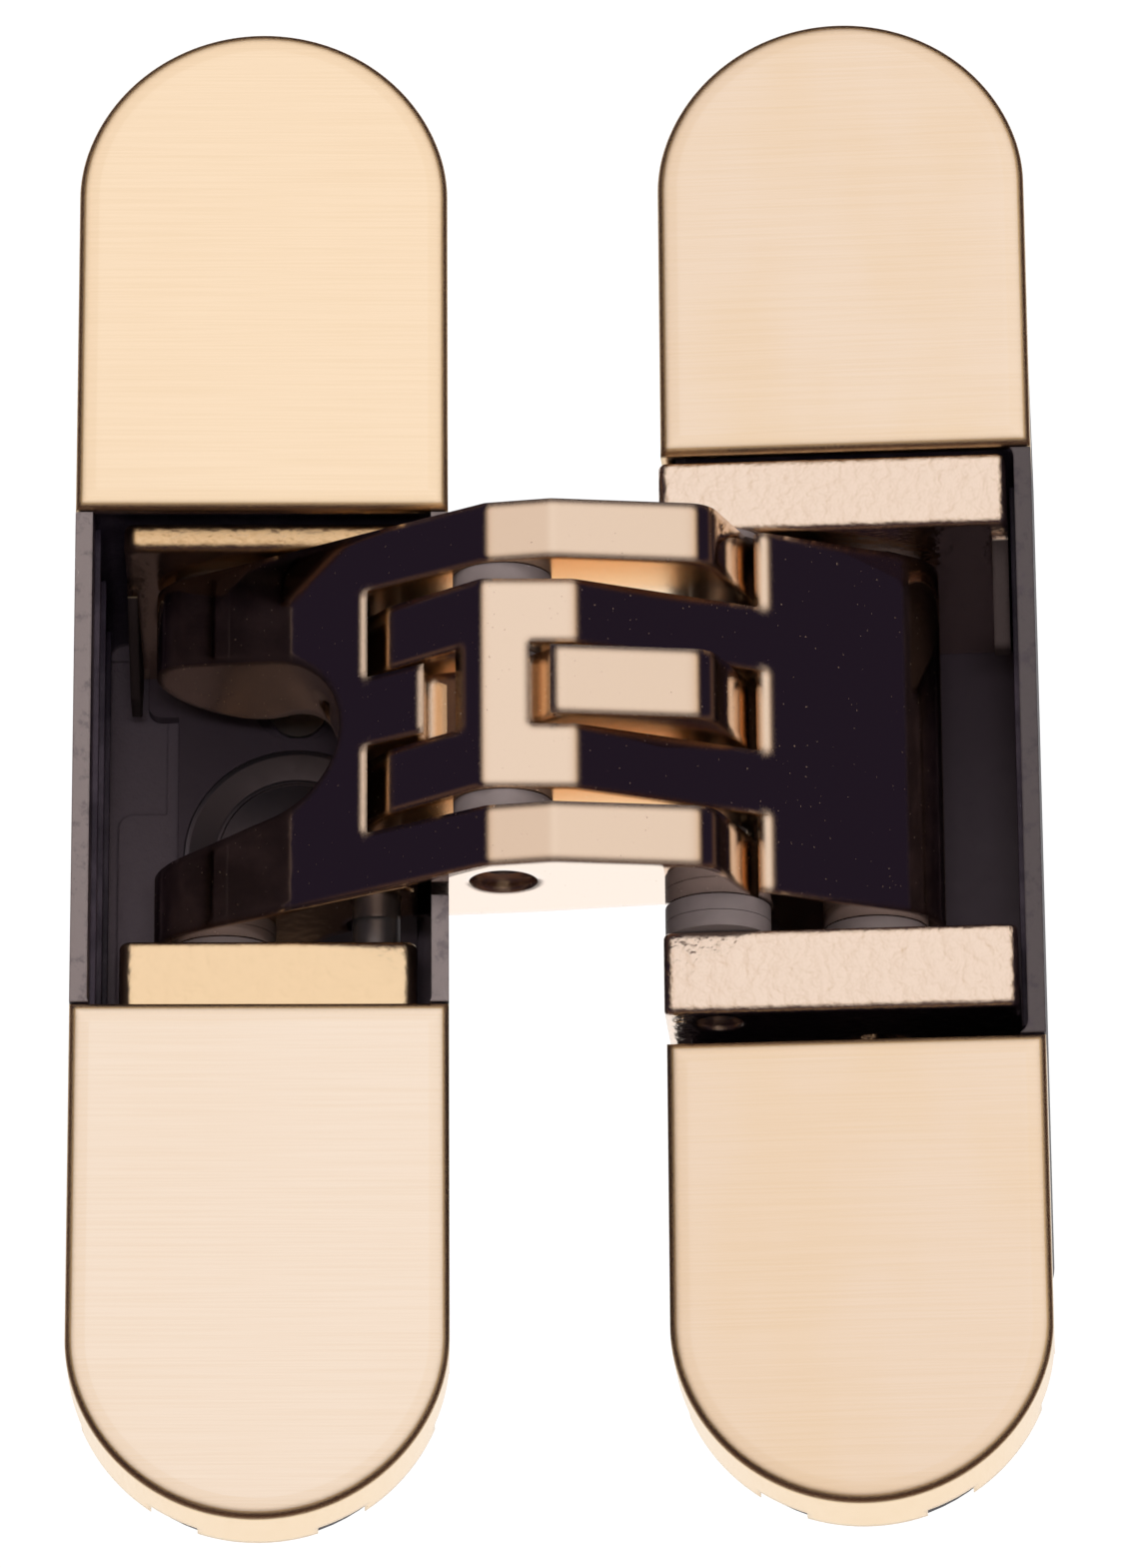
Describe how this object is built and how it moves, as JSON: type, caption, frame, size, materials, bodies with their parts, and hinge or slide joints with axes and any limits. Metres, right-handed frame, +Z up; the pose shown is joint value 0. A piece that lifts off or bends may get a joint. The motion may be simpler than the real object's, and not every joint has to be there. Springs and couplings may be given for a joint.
{
  "type": "concealed door hinge",
  "caption": "Concealed door hinge: mortised housings under arched cover caps, joined by crossed fingered levers that pivot and slide in slotted carriage blocks.",
  "frame": {"origin": "middle of the frame side's front plane, where its cover caps lie flush with the door frame", "axes": "+X across the gap from the frame side to the door side, +Y into the door frame, +Z up along the pivots"},
  "size_m": [0.0747, 0.045, 0.1184],
  "materials": {
    "satin_gold": "satin gold plating, brushed across",
    "cast_gold": "gold-plated die casting, slightly pebbled",
    "polished_gold": "polished gold plating",
    "black_coat": "black coated die casting",
    "plain_steel": "turned steel",
    "grey_plastic": "grey bearing plastic",
    "pale_plastic": "pale bearing plastic"
  },
  "bodies": {
    "frame_side": {"frame_housing": "black_coat", "frame_cap_top": "satin_gold", "frame_cap_bottom": "satin_gold", "frame_clamp_screws": "plain_steel"},
    "frame_carriage": {"frame_upper_block": "cast_gold", "frame_lower_block": "cast_gold", "frame_slide_plate": "plain_steel", "frame_pivot_pin": "plain_steel"},
    "frame_adjuster": {"frame_adjuster": "plain_steel"},
    "inner_lever": {"inner_lever": "polished_gold", "door_slide_pins": "plain_steel", "door_slide_rollers": "pale_plastic", "door_slide_washers": "pale_plastic"},
    "outer_lever": {"outer_lever": "polished_gold", "centre_pin": "plain_steel", "centre_washers": "grey_plastic", "centre_shims": "grey_plastic", "frame_slide_pins": "plain_steel", "frame_slide_rollers": "pale_plastic", "frame_slide_washers": "pale_plastic"},
    "door_carriage": {"door_upper_block": "cast_gold", "door_lower_block": "cast_gold", "door_slide_plate": "plain_steel", "door_pivot_pin": "plain_steel", "door_pivot_washers": "grey_plastic"},
    "door_adjuster": {"door_adjuster": "plain_steel"},
    "door_side": {"door_housing": "black_coat", "door_cap_top": "satin_gold", "door_cap_bottom": "satin_gold", "door_clamp_screws": "plain_steel"}
  },
  "joints": [
    {"name": "side_adjust", "type": "slide", "parent": "frame_side", "child": "frame_carriage", "axis": [1, 0, 0], "range_m": [-0.0008, 0.0008]},
    {"name": "side_disc_turn", "type": "hinge", "parent": "frame_carriage", "child": "frame_adjuster", "pos_m": [0.00222, 0.0354, 0.0037], "axis": [0, 1, 0], "range_deg": [-30, 30]},
    {"name": "frame_pivot", "type": "hinge", "parent": "frame_carriage", "child": "inner_lever", "pos_m": [0.0086, 0.0092, 0.0037], "axis": [0, 0, 1], "range_deg": [-105.2, 2.88]},
    {"name": "centre_pivot", "type": "hinge", "parent": "inner_lever", "child": "outer_lever", "pos_m": [0.01803, -0.0012, 0.0037], "axis": [0, 0, 1], "range_deg": [-1.31, 47.45]},
    {"name": "door_pivot", "type": "hinge", "parent": "outer_lever", "child": "door_carriage", "pos_m": [0.03412, 0.00533, 0.0037], "axis": [0, 0, 1], "range_deg": [-117.46, 3.22]},
    {"name": "height_adjust", "type": "slide", "parent": "door_carriage", "child": "door_side", "axis": [0, 0, 1], "range_m": [-0.0003, 0.002]},
    {"name": "height_disc_turn", "type": "hinge", "parent": "door_carriage", "child": "door_adjuster", "pos_m": [0.04632, 0.0305, 0.0037], "axis": [0.0835, 0.9965, 0], "range_deg": [-37, 10]}
  ],
  "couplings": [
    {"joint": "centre_pivot", "follows": "frame_pivot", "ratio": -0.45096},
    {"joint": "door_pivot", "follows": "frame_pivot", "ratio": 1.1164},
    {"joint": "side_disc_turn", "follows": "side_adjust", "rad_per_m": -500},
    {"joint": "height_disc_turn", "follows": "height_adjust", "rad_per_m": -277.78}
  ]
}
